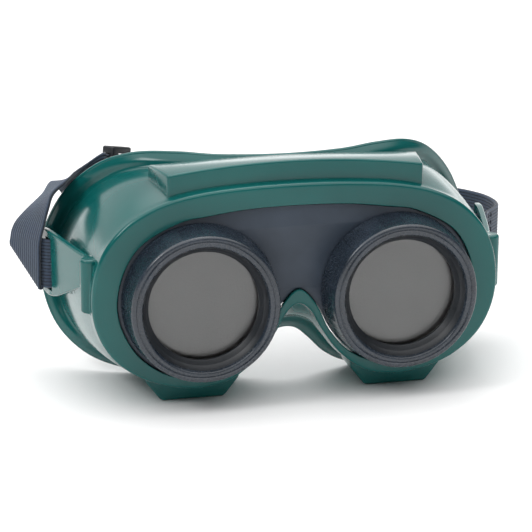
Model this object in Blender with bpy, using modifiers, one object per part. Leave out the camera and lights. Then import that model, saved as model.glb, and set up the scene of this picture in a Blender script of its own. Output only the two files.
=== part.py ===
"""Welding goggles: a soft wraparound mask, a stiff lens plate, two screw-in lens rings with their
lens stacks, vent covers and an elastic strap with a slider.

The design frame is in millimetres: x across the face, y from the ring fronts back to the face, z up
from the eye axis. An empty carries that frame, so the model stands on z = 0, centred on x = y = 0.
"""

import math

import bmesh
import bpy
from mathutils import Matrix, Vector

# Driving dimensions, in millimetres in the design frame
EYE_X = 38.5  # half the spacing of the two lens axes
FLOOR_Z = -41.0  # level of the faces that the goggles stand on
BOX_CENTRE_Y = 60.65  # middle of the object's box, behind the ring fronts
GAP = 0.3  # between touching solids

LENS_RADIUS = 25.0
LENS_STACK = (("cover_lens", 8.2, 1.5), ("filter_lens", 10.0, 3.0), ("backing_lens", 13.3, 1.5))
CLEAR_RADIUS = 21.0  # what the wearer sees through
SEAT_GASKET_Y, SEAT_GASKET_THICKNESS = 15.1, 0.6
RING_WASHER_Y, RING_WASHER_THICKNESS = 7.3, 0.6
SLEEVE_BORE, SLEEVE_RADIUS, SLEEVE_FRONT_Y = 25.35, 26.7, 8.0
RING_FRONT_RADIUS, RING_BACK_RADIUS, RING_BACK_Y = 28.2, 29.9, 14.2
RING_THREAD_RADIUS, RING_MOUTH_RADIUS = 27.1, 24.0
RING_LIP_Y, RING_LIP_THICKNESS = 7.0, 1.4

RIM_Y = 13.2  # front face of the soft rim
RIM_EDGE_Y = 16.6
PLATE_FACE_Y, PLATE_FLANGE_Y, PLATE_BACK_Y = 14.8, 16.0, 18.6
MASK_WALL = 2.2
OPENING_RADIUS, OPENING_NOSE_RADIUS = 31.3, 30.5  # the rim's opening round each ring
FLANGE_WIDTH, FLANGE_DEPTH = 6.5, 6.0  # the face flange, across and along y
OUTLINE_STEPS = 3  # mesh steps between two points of an outline

STRAP_WIDTH, STRAP_THICKNESS = 20.0, 1.6

# Half outlines from the top centre, round the temple, to the nose
RIM_EDGE = (  # x, z
    (0, 43.3), (22, 42.7), (40, 40.9), (54, 37.3), (66, 30.6), (74.8, 20.3), (79, 7.5),
    (78.8, -6.5), (73.5, -19), (63.5, -28.3), (51, -33.6), (38.5, -35.3), (26.5, -32.8),
    (16.0, -24.8), (8.7, -14.6), (4.6, -7.4), (0, -4.4),
)
FACE_EDGE = (  # x, y, z
    (0, 42, 49), (24, 45, 49.2), (40, 51, 49.8), (56, 59.5, 48.4), (69.5, 69, 42),
    (82, 78.5, 28.5), (90, 83.5, 10), (91, 81, -8.5), (86.3, 72.3, -24.3), (74.8, 62, -35),
    (58, 53.5, -39.9), (42, 48, -40.7), (28, 44, -39.5), (17, 40, -33.5), (9, 37, -25.5),
    (4.2, 35.5, -21.2), (0, 35, -20),
)
# Angles round the eye, from straight up towards the temple, of the opening's points
OPENING_ANGLES = (13, 41, 62, 85, 105, 128, 148, 165, 180, 198, 219, 240)
OPENING_TOP = ((0, 34.8), (19.5, 34.2), (35, 32.3))
OPENING_NOSE = ((6.6, -4.4), (0, 1.6))


# ---- scene helpers

def new_collection(name, hidden=False):
    collection = bpy.data.collections.new(name)
    collection.hide_render = hidden
    bpy.context.scene.collection.children.link(collection)
    return collection


def new_material(name, colour, roughness, metallic=0.0, transmission=0.0):
    material = bpy.data.materials.new(name)
    material.use_nodes = True
    shader = material.node_tree.nodes["Principled BSDF"]
    shader.inputs["Base Color"].default_value = (*colour, 1)
    shader.inputs["Roughness"].default_value = roughness
    shader.inputs["Metallic"].default_value = metallic
    shader.inputs["Transmission Weight"].default_value = transmission
    return material


def add_solid(name, mesh, material=None, parent=None, angle=35):
    """Links a mesh as a part, or as a hidden cutter when it has no material."""
    solid = bpy.data.objects.new(name, mesh)
    solid.parent = parent or DESIGN
    if material:
        mesh.materials.append(material)
        mesh.shade_smooth()
        mesh.set_sharp_from_angle(angle=math.radians(angle))
        PARTS.objects.link(solid)
    else:
        solid.hide_render = True
        solid.display_type = "WIRE"
        CUTTERS.objects.link(solid)
    return solid


def to_mesh(name, shape):
    mesh = bpy.data.meshes.new(name)
    bmesh.ops.scale(shape, vec=Vector((0.001, 0.001, 0.001)), verts=shape.verts)
    bmesh.ops.recalc_face_normals(shape, faces=shape.faces)
    shape.to_mesh(mesh)
    shape.free()
    return mesh


def combine(solid, cutter, operation="DIFFERENCE"):
    boolean = solid.modifiers.new(operation.lower(), "BOOLEAN")
    boolean.operation = operation
    boolean.solver = "EXACT"
    boolean.object = cutter


def thicken(solid, thickness, offset=-1.0):
    shell = solid.modifiers.new("wall", "SOLIDIFY")
    shell.thickness = thickness / 1000
    shell.offset = offset
    shell.use_even_offset = True
    shell.use_quality_normals = True


def round_edges(solid, width, segments=2, angle=40):
    bevel = solid.modifiers.new("rounding", "BEVEL")
    bevel.width = width / 1000
    bevel.segments = segments
    bevel.limit_method = "ANGLE"
    bevel.angle_limit = math.radians(angle)


# ---- outlines

def whole_outline(half):
    """A closed smooth loop of x, y, z points through a half outline and its mirror image."""
    right = [Vector((p[0], p[1] if len(p) == 3 else 0, p[-1])) for p in half]
    left = [Vector((-p.x, p.y, p.z)) for p in right[-2:0:-1]]
    points = right + left
    loop = []
    for i in range(len(points)):
        a, b, c, d = (points[(i + k) % len(points)] for k in (-1, 0, 1, 2))
        for step in range(OUTLINE_STEPS):
            t = step / OUTLINE_STEPS
            loop.append(0.5 * (2 * b + (c - a) * t + (2 * a - 5 * b + 4 * c - d) * t ** 2
                               + (3 * b - a - 3 * c + d) * t ** 3))
    return loop


def grown(loop, amount, forward=0.0):
    """The loop moved outward in the x-z plane, and forward along -y."""
    moved = []
    for i, point in enumerate(loop):
        along = loop[(i + 1) % len(loop)] - loop[i - 1]
        outward = Vector((-along.z, 0, along.x)).normalized()
        moved.append(point + outward * amount - Vector((0, forward, 0)))
    return moved


def at_depth(loop, y):
    return [Vector((p.x, y, p.z)) for p in loop]


def opening_outline():
    round_eye = []
    for angle in OPENING_ANGLES:
        radius = OPENING_RADIUS if angle <= 180 else OPENING_NOSE_RADIUS
        turn = math.radians(angle)
        round_eye.append((EYE_X + radius * math.sin(turn), radius * math.cos(turn)))
    return whole_outline((*OPENING_TOP, *round_eye, *OPENING_NOSE))


def loft(name, rows, closed=True, capped=False):
    """Quads between rows of points; rows close on themselves, and caps fill the first and last."""
    shape = bmesh.new()
    grid = [[shape.verts.new(p) for p in row] for row in rows]
    count = len(rows[0])
    for front, back in zip(grid, grid[1:]):
        for i in range(count if closed else count - 1):
            k = (i + 1) % count
            shape.faces.new((front[i], front[k], back[k], back[i]))
    if capped:
        shape.faces.new(grid[0])
        shape.faces.new(grid[-1][::-1])
    return to_mesh(name, shape)


def mask_rows():
    """The mask's outer surface, from the edge of its opening to the edge that meets the face."""
    rim = at_depth(whole_outline(RIM_EDGE), RIM_EDGE_Y)
    face = whole_outline(FACE_EDGE)
    root = grown(face, -FLANGE_WIDTH, FLANGE_DEPTH)
    rows = [at_depth(opening_outline(), RIM_Y)]
    for inset, back in ((1.3, 0.2), (0.4, 1.1)):
        rows.append(at_depth(grown(rim, -inset), RIM_Y + back))
    rows.append(rim)
    for part, bulge in ((0.3, 1.0), (0.65, 1.2)):
        middle = [a.lerp(b, part) for a, b in zip(rim, root)]
        rows.append(grown(middle, bulge))
    rows += [root, [a.lerp(b, 0.5) - Vector((0, 0.6, 0)) for a, b in zip(root, face)], face]
    return rows


# ---- turned pieces

def turned(name, profile, x, material=None, parent=None, steps=64):
    """A profile of (radius, y) turned about the lens axis at x, its outer side front to back."""
    mesh = bpy.data.meshes.new(name)
    points = [(r / 1000, 0, -y / 1000) for r, y in profile]
    edges = [(i, (i + 1) % len(points)) for i in range(len(points))]
    mesh.from_pydata(points, edges, [])
    solid = add_solid(name, mesh, material, parent)
    solid.location = (x / 1000, 0, 0)
    solid.rotation_euler = (math.radians(90), 0, 0)
    screw = solid.modifiers.new("turn", "SCREW")
    screw.axis = "Z"
    screw.steps = screw.render_steps = steps
    screw.use_merge_vertices = True
    screw.merge_threshold = 0.00001
    screw.use_smooth_shade = bool(material)
    return solid


def hoop(name, outer, inner, front, thickness, x, material=None, parent=None, steps=64):
    back = front + thickness
    profile = ((outer, front), (outer, back), (inner, back), (inner, front))
    return turned(name, profile, x, material, parent, steps)


def disc(name, radius, front, thickness, x, material):
    shape = bmesh.new()
    turn = Matrix.Rotation(math.radians(90), 4, "X")
    bmesh.ops.create_cone(
        shape, cap_ends=True, segments=64, radius1=radius, radius2=radius, depth=thickness,
        matrix=Matrix.Translation((0, front + thickness / 2, 0)) @ turn,
    )
    solid = add_solid(name, to_mesh(name, shape), material)
    solid.location = (x / 1000, 0, 0)
    return solid


# ---- the mask

def blocks(name, centres, size, material=None, turn=0.0):
    """Equal boxes in one object, each turned about the upright through its centre."""
    shape = bmesh.new()
    for centre in centres:
        place = Matrix.Translation(centre) @ Matrix.Rotation(math.radians(turn), 4, "Z")
        bmesh.ops.create_cube(shape, size=1, matrix=place @ Matrix.Diagonal((*size, 1)))
    return add_solid(name, to_mesh(name, shape), material)


EAR = (  # the strap lug's outer face: x, y, top z, bottom z
    (78.6, 20, 16.5, 5.5), (82.0, 31, 16.8, 2.5), (85.3, 43, 17.3, -2.5), (88.2, 54, 17.8, -7.0),
    (90.2, 62, 18.0, -8.6), (91.4, 68.5, 17.4, -8.0),
)
EAR_THICKNESS = 2.6
SLOT_X, SLOT_Y, SLOT_LENGTH, SLOT_HEIGHT, SLOT_Z = 88.6, 60.2, 5.6, 21.4, 4.7
EAR_SLANT = 12.0  # degrees that the slotted end leans off the y axis


def make_ears():
    """The two strap lugs, each a tapering strip that grows from an upright half-round rib."""
    ends = []
    for x, y, top, bottom in EAR:
        inner = x - EAR_THICKNESS
        ends.append([(x, y, top), (x, y, bottom), (inner, y, bottom), (inner, y, top)])
    strip = add_solid("ear_strip", loft("ear_strip", ends, capped=True))
    round_edges(strip, 0.6, 2, 60)
    shape = bmesh.new()
    bmesh.ops.create_cone(shape, cap_ends=True, segments=20, radius1=3.5, radius2=3.5, depth=21,
                          matrix=Matrix.Translation((79, 21.6, 6.3)))
    ears = add_solid("ears", to_mesh("ears", shape))
    round_edges(ears, 1.2, 2, 60)
    combine(ears, strip, "UNION")
    double = ears.modifiers.new("other_side", "MIRROR")
    double.use_axis = (True, False, False)
    double.merge_threshold = 0.00001
    return ears


def make_mask():
    mask = add_solid("mask_body", loft("mask_body", mask_rows()), SOFT_GREEN, angle=32)
    thicken(mask, MASK_WALL)
    combine(mask, make_ears(), "UNION")
    for side in (-1, 1):
        combine(mask, blocks(f"slot_{side}", [(side * SLOT_X, SLOT_Y, SLOT_Z)],
                             (9, SLOT_LENGTH, SLOT_HEIGHT), turn=-side * EAR_SLANT))
    # Air slots under the top cover and over the lower ones
    combine(mask, blocks("top_air", [(i * 16, 27.1, 42) for i in range(-2, 3)], (10, 4, 12)))
    low = [(side * LOW_X + i * 7, 28.5, -34) for side in (-1, 1) for i in (-1, 0, 1)]
    combine(mask, blocks("low_air", low, (4.5, 8, 10)))
    return mask


# ---- vent covers

HOOD_FRONT_Y, HOOD_WALL = 17.9, 1.6


def make_plug():
    """The mask's outer envelope as one solid, a gap larger: it trims what is fitted on the mask."""
    rows = [grown(row, GAP + 0.05) for row in mask_rows()]
    rows[0] = [p - Vector((0, GAP, 0)) for p in rows[0]]
    rows.append(at_depth(rows[-1], FACE_EDGE[7][1] + 20))
    return add_solid("mask_plug", loft("mask_plug", rows, capped=True))


def hood_section(y, half_width, top, ends, bottom, inset=0.0):
    """An arched front-view section of the top cover at depth y."""
    half_width -= inset
    arch = []
    for i in range(-6, 7):
        x = half_width * i / 6
        arch.append((x, y, top - inset - (top - ends) * (i / 6) ** 2))
    return [(-half_width, y, bottom), *arch, (half_width, y, bottom)]


def make_hood():
    outer = [hood_section(HOOD_FRONT_Y, 49.5, 51.2, 47.4, 33), hood_section(28, 51.5, 50.3, 47.6, 33),
             hood_section(38.5, 53.5, 48.8, 47.4, 33)]
    inner = [hood_section(HOOD_FRONT_Y + HOOD_WALL, 49.5, 51.2, 47.4, 30, HOOD_WALL),
             hood_section(28, 51.5, 50.3, 47.6, 30, HOOD_WALL),
             hood_section(38.5 - HOOD_WALL, 53.3, 49.0, 47.4, 30, HOOD_WALL)]
    hood = add_solid("top_vent_cover", loft("top_vent_cover", outer, capped=True), SOFT_GREEN)
    round_edges(hood, 0.9, 2, 50)
    hollow = add_solid("hood_hollow", loft("hood_hollow", inner, capped=True))
    combine(hood, hollow)
    combine(hood, PLUG)
    return hood


LOW_X, LOW_HALF_TOP, LOW_HALF_BOTTOM, LOW_FRONT_Y, LOW_BACK_Y = 40.5, 18.5, 12.3, 18.6, 38.5


def low_section(y, inset=0.0, floor=FLOOR_Z):
    top, bottom = LOW_HALF_TOP - inset, LOW_HALF_BOTTOM - inset
    return [(-top, y, -24), (-top, y, -33), (-bottom, y, floor), (bottom, y, floor),
            (top, y, -33), (top, y, -24)]


def make_low_cover(side, word):
    name = f"lower_vent_cover_{word}"
    cover = add_solid(name, loft(name, [low_section(LOW_FRONT_Y), low_section(LOW_BACK_Y)],
                                 capped=True), SOFT_GREEN)
    cover.location.x = side * LOW_X / 1000
    round_edges(cover, 1.4, 3, 30)
    hollow_rows = [low_section(LOW_FRONT_Y + HOOD_WALL, HOOD_WALL, FLOOR_Z + HOOD_WALL),
                   low_section(LOW_BACK_Y - HOOD_WALL, HOOD_WALL, FLOOR_Z + HOOD_WALL)]
    hollow = add_solid(f"{name}_hollow", loft(f"{name}_hollow", hollow_rows, capped=True))
    hollow.location.x = cover.location.x
    combine(cover, hollow)
    combine(cover, PLUG)
    outlets = [(side * LOW_X + i * 7, LOW_BACK_Y, -37.6) for i in (-1, 0, 1)]
    combine(cover, blocks(f"{name}_outlets", outlets, (4, 6, 2.6)))
    return cover


def make_baffles():
    """Perforated splash strips under the covers."""
    top = blocks("top_vent_baffle", [(0, 27.5, 45.6)], (84, 12, 0.8), DARK_PLASTIC)
    combine(top, blocks("top_baffle_holes", [(i * 9, 27.5, 45.6) for i in range(-4, 5)], (5, 3, 4)))
    for side, word in SIDES:
        name = f"lower_vent_baffle_{word}"
        low = blocks(name, [(side * LOW_X, 28.5, -37.6)], (18, 14, 0.8), DARK_PLASTIC)
        holes = [(side * LOW_X + i * 6, 28.5, -37.6) for i in (-1, 0, 1)]
        combine(low, blocks(f"{name}_holes", holes, (3, 8, 4)))


# ---- the lens plate, rings and lenses

def flat_plate(name, loop, front, back, hole_radius):
    """A flat plate from an outline, with a round hole at each eye."""
    curve = bpy.data.curves.new(name, "CURVE")
    curve.dimensions = "2D"
    curve.fill_mode = "BOTH"
    curve.extrude = (back - front) / 2000
    circles = [[(side * EYE_X + hole_radius * math.cos(k * math.tau / 64),
                 hole_radius * math.sin(k * math.tau / 64)) for k in range(64)] for side in (-1, 1)]
    for points in ([(p.x, p.z) for p in loop], *circles):
        spline = curve.splines.new("POLY")
        spline.points.add(len(points) - 1)
        spline.use_cyclic_u = True
        for point, (x, z) in zip(spline.points, points):
            point.co = (x / 1000, z / 1000, 0, 1)
    guide = bpy.data.objects.new(f"{name}_outline", curve)
    CUTTERS.objects.link(guide)
    guide.matrix_world = Matrix.Translation((0, (front + back) / 2000, 0)) @ Matrix.Rotation(
        math.radians(90), 4, "X")
    bpy.context.view_layer.update()
    mesh = bpy.data.meshes.new_from_object(guide.evaluated_get(bpy.context.evaluated_depsgraph_get()))
    mesh.transform(guide.matrix_world)
    bpy.data.objects.remove(guide)
    shape = bmesh.new()
    shape.from_mesh(mesh)
    bmesh.ops.remove_doubles(shape, verts=shape.verts, dist=0.00001)
    bmesh.ops.recalc_face_normals(shape, faces=shape.faces)
    shape.to_mesh(mesh)
    shape.free()
    return mesh


def make_plate():
    rim = whole_outline(RIM_EDGE)
    plate = add_solid("lens_plate", flat_plate("lens_plate", grown(rim, -MASK_WALL - 1.3),
                                               PLATE_FLANGE_Y, PLATE_BACK_Y, CLEAR_RADIUS), DARK_NYLON)
    face = flat_plate("plate_face", grown(opening_outline(), -0.45), PLATE_FACE_Y,
                      PLATE_FLANGE_Y + 0.2, SLEEVE_BORE + 0.6)
    combine(plate, add_solid("plate_face", face), "UNION")
    for side, word in SIDES:
        sleeve = hoop(f"sleeve_{word}", SLEEVE_RADIUS, SLEEVE_BORE, SLEEVE_FRONT_Y,
                      PLATE_FLANGE_Y + 0.2 - SLEEVE_FRONT_Y, side * EYE_X)
        combine(plate, sleeve, "UNION")
    return plate


def make_eye(side, word):
    x = side * EYE_X
    for name, front, thickness in LENS_STACK:
        glass = FILTER_GLASS if name == "filter_lens" else CLEAR_GLASS
        disc(f"{name}_{word}", LENS_RADIUS, front, thickness, x, glass)
    hoop(f"seat_gasket_{word}", LENS_RADIUS, CLEAR_RADIUS, SEAT_GASKET_Y, SEAT_GASKET_THICKNESS, x,
         RUBBER)
    hoop(f"ring_washer_{word}", LENS_RADIUS - 0.2, CLEAR_RADIUS + 0.4, RING_WASHER_Y,
         RING_WASHER_THICKNESS, x, FIBRE)
    ring = (
        (RING_FRONT_RADIUS - 2.2, 0), (RING_FRONT_RADIUS - 0.8, 0.35), (RING_FRONT_RADIUS, 1.5),
        (RING_BACK_RADIUS, RING_BACK_Y), (RING_THREAD_RADIUS, RING_BACK_Y),
        (RING_THREAD_RADIUS, RING_LIP_Y), (CLEAR_RADIUS, RING_LIP_Y),
        (CLEAR_RADIUS, RING_LIP_Y - RING_LIP_THICKNESS), (RING_MOUTH_RADIUS, 1.0),
        (RING_MOUTH_RADIUS + 0.5, 0.3),
    )
    turned(f"retaining_ring_{word}", ring, x, DARK_NYLON)


# ---- the strap

def smooth_path(points, steps):
    """Catmull-Rom points through a list of vectors, ends included."""
    path = []
    for i in range(len(points) - 1):
        a, b, c = points[max(i - 1, 0)], points[i], points[i + 1]
        d = points[min(i + 2, len(points) - 1)]
        for step in range(steps):
            t = step / steps
            path.append(0.5 * (2 * b + (c - a) * t + (2 * a - 5 * b + 4 * c - d) * t ** 2
                               + (3 * b - a - 3 * c + d) * t ** 3))
    return [*path, points[-1]]


def ribbon(name, stations, material, steps=3):
    """Webbing through stations, each one a pair of points on its two edges."""
    edges = [smooth_path([Vector(station[k]) for station in stations], steps) for k in (0, 1)]
    rows = [[a, a.lerp(b, 0.5), b] for a, b in zip(*edges)]
    band = add_solid(name, loft(name, rows, closed=False), material, angle=50)
    thicken(band, STRAP_THICKNESS, offset=0.0)
    return band


def full_width(centre, across):
    half = Vector(across).normalized() * STRAP_WIDTH / 2
    return Vector(centre) + half, Vector(centre) - half


UPRIGHT = (0, 0, 1)
LUG_WRAP = (  # the turn round an ear's rear bar, from inside the ear to its outer face: x, y
    (86.9, 71.5), (86.5, 68), (86.2, 64.5), (86.3, 61.7), (87.4, 60.3), (89.6, 60.2),
)
SLIDER_CENTRE = Vector((-59, 86.5, 31.2))
SLIDER_AXIS = Vector((0.72, 0.66, -0.21)).normalized()
SLIDER_LENGTH, SLIDER_HEIGHT, SLIDER_DEPTH = 12.0, 26.4, 6.0
SLIDER_END, SLIDER_BAR = 2.8, 2.6  # the solid ends and the bars that the strap threads through


def slider_across():
    lean = Vector((0.05, 0.1, 1))
    return (lean - SLIDER_AXIS * lean.dot(SLIDER_AXIS)).normalized()


def right_end():
    """The doubled end in the right-hand ear, then the run round the back of the head."""
    level = [(x, y, SLOT_Z) for x, y in LUG_WRAP]
    level += [(91.6, 61.4, SLOT_Z), (93.4, 65, SLOT_Z), (97.4, 69.5, SLOT_Z), (101.3, 75, SLOT_Z),
              (102.7, 83, 4.8), (100.6, 93.5, 4.9), (92.5, 105, 5.1), (76, 114.5, 5.6), (54, 119.5, 7),
              (31, 120.4, 9.5)]
    run = [full_width(point, UPRIGHT) for point in level]
    run.append(full_width((9, 118, 13.5), (0.05, 0.05, 1)))
    run.append(full_width((-12, 113.5, 18.8), (0.08, 0.08, 1)))
    run.append(full_width((-30, 107.6, 24.3), (0.08, 0.1, 1)))
    return run


def left_end():
    """Over the temple, down the outside of the ear, a diagonal fold and the turn in the slot."""
    rise = [
        full_width((-76, 83.2, 29.8), (0.1, -0.6, 0.8)),
        full_width((-82.5, 76.4, 33.4), (0.14, -0.96, 0.23)),
        full_width((-87.8, 72, 29.8), (0.1, -0.96, 0.26)),
        full_width((-92.2, 69, 25), (0.31, -0.92, 0.24)),
        full_width((-95.4, 68.4, 19.5), (0.44, -0.89, 0.09)),
    ]
    fold = [  # front or lower edge, then rear or upper edge
        ((-92.8, 59.6, 13), (-101.8, 77.4, 15)), ((-93.1, 59.7, 5), (-102.4, 77.6, 12.2)),
        ((-93.3, 59.8, -4.2), (-102.8, 77.4, 10.2)), ((-92.6, 60.3, -5.8), (-102.2, 77.9, 8.6)),
        ((-91.7, 60.9, -4.9), (-101.0, 77.3, 9.8)), ((-91.4, 61.0, -5.2), (-97, 70.5, 14)),
        ((-90.9, 60.6, -5.3), (-92.7, 63.4, 14.7)),
    ]
    inside = [(-x, y) for x, y in LUG_WRAP[::-1]][:-1]
    tail = [*inside, (-87.2, 71.2), (-89.6, 73.6), (-92.2, 76.5), (-94.2, 81)]
    return rise + fold + [full_width((x, y, SLOT_Z), (0, 0, -1)) for x, y in tail]


def make_strap():
    across = slider_across()
    straight = [full_width(SLIDER_CENTRE + SLIDER_AXIS * s, across) for s in (24, 12, 0, -6.5, -10)]
    ribbon("strap_band", right_end() + straight + left_end(), WEBBING)


def make_slider():
    """A three-bar slider: two bars outside the strap and one inside it."""
    shape = bmesh.new()
    size = (SLIDER_LENGTH, SLIDER_HEIGHT, SLIDER_DEPTH)
    bmesh.ops.create_cube(shape, size=1, matrix=Matrix.Diagonal((*size, 1)))
    slider = add_solid("strap_slider", to_mesh("strap_slider", shape), DARK_PLASTIC)
    round_edges(slider, 0.8, 3, 50)
    window = SLIDER_HEIGHT - 2 * SLIDER_END
    passage = STRAP_THICKNESS + 2 * GAP + 0.1
    middle = SLIDER_LENGTH - 2 * SLIDER_BAR
    side = (SLIDER_LENGTH - SLIDER_BAR) / 2
    for name, centres, cut in (
        ("slider_passage", [(0, 0, 0)], (2 * SLIDER_LENGTH, window, passage)),
        ("slider_front", [(0, 0, SLIDER_DEPTH / 2)], (middle, window, SLIDER_DEPTH)),
        ("slider_back", [(k * (SLIDER_BAR + side) / 2, 0, -SLIDER_DEPTH / 2) for k in (-1, 1)],
         (side + 0.02, window, SLIDER_DEPTH)),
    ):
        cutter = blocks(name, centres, cut)
        cutter.parent = slider
        combine(slider, cutter)
    across = slider_across()
    turn = Matrix((SLIDER_AXIS, across, SLIDER_AXIS.cross(across))).transposed()
    slider.location = SLIDER_CENTRE / 1000
    slider.rotation_euler = turn.to_euler()


# ---- the model

SIDES = ((-1, "left"), (1, "right"))  # as seen from the front

for old in list(bpy.data.objects):
    bpy.data.objects.remove(old)
PARTS = new_collection("welding_goggles")
CUTTERS = new_collection("cutters", hidden=True)
DESIGN = bpy.data.objects.new("design_frame", None)
DESIGN.location = (0, -BOX_CENTRE_Y / 1000, -FLOOR_Z / 1000)
bpy.context.scene.collection.objects.link(DESIGN)

SOFT_GREEN = new_material("soft_green_vinyl", (0.02, 0.19, 0.18), 0.25)
DARK_NYLON = new_material("dark_nylon", (0.035, 0.045, 0.06), 0.35)
DARK_PLASTIC = new_material("dark_plastic", (0.02, 0.03, 0.03), 0.6)
CLEAR_GLASS = new_material("clear_glass", (0.9, 0.95, 0.92), 0.03, transmission=1.0)
FILTER_GLASS = new_material("filter_glass", (0.03, 0.06, 0.03), 0.03, transmission=0.5)
RUBBER = new_material("black_rubber", (0.015, 0.015, 0.015), 0.8)
FIBRE = new_material("grey_fibre", (0.3, 0.3, 0.3), 0.7)
WEBBING = new_material("elastic_webbing", (0.04, 0.05, 0.07), 0.9)

PLUG = make_plug()
make_mask()
make_hood()
for eye_side, eye_word in SIDES:
    make_low_cover(eye_side, eye_word)
    make_eye(eye_side, eye_word)
make_baffles()
make_plate()
make_strap()
make_slider()
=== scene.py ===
# Welding goggles: the pieces that show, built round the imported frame.
import math

import bmesh
import bpy
import numpy as np
from mathutils import Matrix, Vector


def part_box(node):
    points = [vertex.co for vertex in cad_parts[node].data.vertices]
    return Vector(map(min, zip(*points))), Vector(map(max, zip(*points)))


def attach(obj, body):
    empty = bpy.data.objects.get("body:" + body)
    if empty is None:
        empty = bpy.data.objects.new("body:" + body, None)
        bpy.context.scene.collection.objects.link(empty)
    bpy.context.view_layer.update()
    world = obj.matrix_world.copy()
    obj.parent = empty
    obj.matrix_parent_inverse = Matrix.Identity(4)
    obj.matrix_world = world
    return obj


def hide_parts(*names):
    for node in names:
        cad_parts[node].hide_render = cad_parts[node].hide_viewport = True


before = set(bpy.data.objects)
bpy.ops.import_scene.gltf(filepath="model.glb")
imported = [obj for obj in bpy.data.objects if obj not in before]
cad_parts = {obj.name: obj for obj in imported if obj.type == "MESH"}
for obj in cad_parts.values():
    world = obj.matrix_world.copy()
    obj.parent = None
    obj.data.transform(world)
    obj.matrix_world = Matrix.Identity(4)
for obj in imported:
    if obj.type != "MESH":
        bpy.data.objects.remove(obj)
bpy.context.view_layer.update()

# Everything below is drawn in millimetres from the point midway between the two ring fronts:
# x across the face, y back towards the wearer, z up. The frame says where that point is.
ringLow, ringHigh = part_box("retaining_ring_right")
eyeX = (ringLow.x + ringHigh.x) * 500
drawingOrigin = Vector((0, ringLow.y, (ringLow.z + ringHigh.z) / 2))
sides = ((-1, "left"), (1, "right"))  # as seen from the front


# Shapes

def toWorld(point):
    return Vector(point) / 1000 + drawingOrigin


def meshFrom(name, points, faces, smoothAngle=35):
    mesh = bpy.data.meshes.new(name)
    mesh.from_pydata([toWorld(p) for p in points], [], faces)
    bm = bmesh.new()
    bm.from_mesh(mesh)
    bmesh.ops.recalc_face_normals(bm, faces=bm.faces)
    bm.to_mesh(mesh)
    bm.free()
    mesh.shade_smooth()
    mesh.set_sharp_from_angle(angle=math.radians(smoothAngle))
    return mesh


def loft(rows, closed=True, capped=False):
    # quads between rows of equally many points
    count = len(rows[0])
    points = [p for row in rows for p in row]
    faces = []
    for r in range(len(rows) - 1):
        for i in range(count if closed else count - 1):
            k = (i + 1) % count
            faces.append((r * count + i, r * count + k, (r + 1) * count + k, (r + 1) * count + i))
    if capped:
        faces.append(tuple(range(count)))
        faces.append(tuple(range(len(points) - 1, len(points) - count - 1, -1)))
    return points, faces


def newObject(name, mesh):
    piece = bpy.data.objects.new(name, mesh)
    bpy.context.scene.collection.objects.link(piece)
    return piece


def addModifier(piece, kind, **settings):
    modifier = piece.modifiers.new(kind.lower(), kind)
    for key, value in settings.items():
        setattr(modifier, key, value)
    return modifier


def settle(piece, smoothAngle=35):
    # turns the modifiers' result into the piece's own mesh
    bpy.context.view_layer.update()
    graph = bpy.context.evaluated_depsgraph_get()
    mesh = bpy.data.meshes.new_from_object(piece.evaluated_get(graph))
    piece.modifiers.clear()
    piece.data = mesh
    mesh.shade_smooth()
    mesh.set_sharp_from_angle(angle=math.radians(smoothAngle))


def cutWith(piece, tool, operation="DIFFERENCE"):
    addModifier(piece, "BOOLEAN", operation=operation, solver="EXACT", object=tool)
    settle(piece)
    bpy.data.objects.remove(tool)


def roundEdges(piece, width, segments=3, angle=35):
    addModifier(piece, "BEVEL", width=width / 1000, segments=segments, limit_method="ANGLE",
                angle_limit=math.radians(angle), harden_normals=False)


def smoothLine(points, steps):
    # Catmull-Rom points through a list, ends included
    points = [Vector(p) for p in points]
    line = []
    for i in range(len(points) - 1):
        a, b, c = points[max(i - 1, 0)], points[i], points[i + 1]
        d = points[min(i + 2, len(points) - 1)]
        for step in range(steps):
            t = step / steps
            line.append(0.5 * (2 * b + (c - a) * t + (2 * a - 5 * b + 4 * c - d) * t ** 2
                               + (3 * b - a - 3 * c + d) * t ** 3))
    return [*line, points[-1]]


def wholeOutline(half, steps):
    # a closed smooth loop through a half outline and its mirror image
    right = [Vector((p[0], p[1] if len(p) == 3 else 0, p[-1])) for p in half]
    ring = right + [Vector((-p.x, p.y, p.z)) for p in right[-2:0:-1]]
    count = len(ring)
    loop = []
    for i in range(count):
        a, b, c, d = (ring[(i + k) % count] for k in (-1, 0, 1, 2))
        for step in range(steps):
            t = step / steps
            loop.append(0.5 * (2 * b + (c - a) * t + (2 * a - 5 * b + 4 * c - d) * t ** 2
                               + (3 * b - a - 3 * c + d) * t ** 3))
    return loop


def grown(loop, amount, forward=0.0):
    moved = []
    for i, point in enumerate(loop):
        along = loop[(i + 1) % len(loop)] - loop[i - 1]
        outward = Vector((-along.z, 0, along.x)).normalized()
        moved.append(point + outward * amount - Vector((0, forward, 0)))
    return moved


def atDepth(loop, y):
    return [Vector((p.x, y, p.z)) for p in loop]


def boxTool(name, centres, size, turn=0.0):
    points, faces = [], []
    for centre in centres:
        spin = Matrix.Rotation(math.radians(turn), 3, "Z")
        start = len(points)
        for i in range(8):
            corner = Vector([(((i >> k) & 1) - 0.5) * size[k] for k in range(3)])
            points.append(Vector(centre) + spin @ corner)
        for face in ((0, 1, 3, 2), (4, 6, 7, 5), (0, 4, 5, 1), (2, 3, 7, 6), (0, 2, 6, 4), (1, 5, 7, 3)):
            faces.append(tuple(start + k for k in face))
    return newObject(name, meshFrom(name, points, faces))


# Materials

def linear(hexColour):
    # sRGB hex to Blender's linear colour
    parts = [int(hexColour[i:i + 2], 16) / 255 for i in (0, 2, 4)]
    return (*[p / 12.92 if p <= 0.04045 else ((p + 0.055) / 1.055) ** 2.4 for p in parts], 1)


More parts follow.
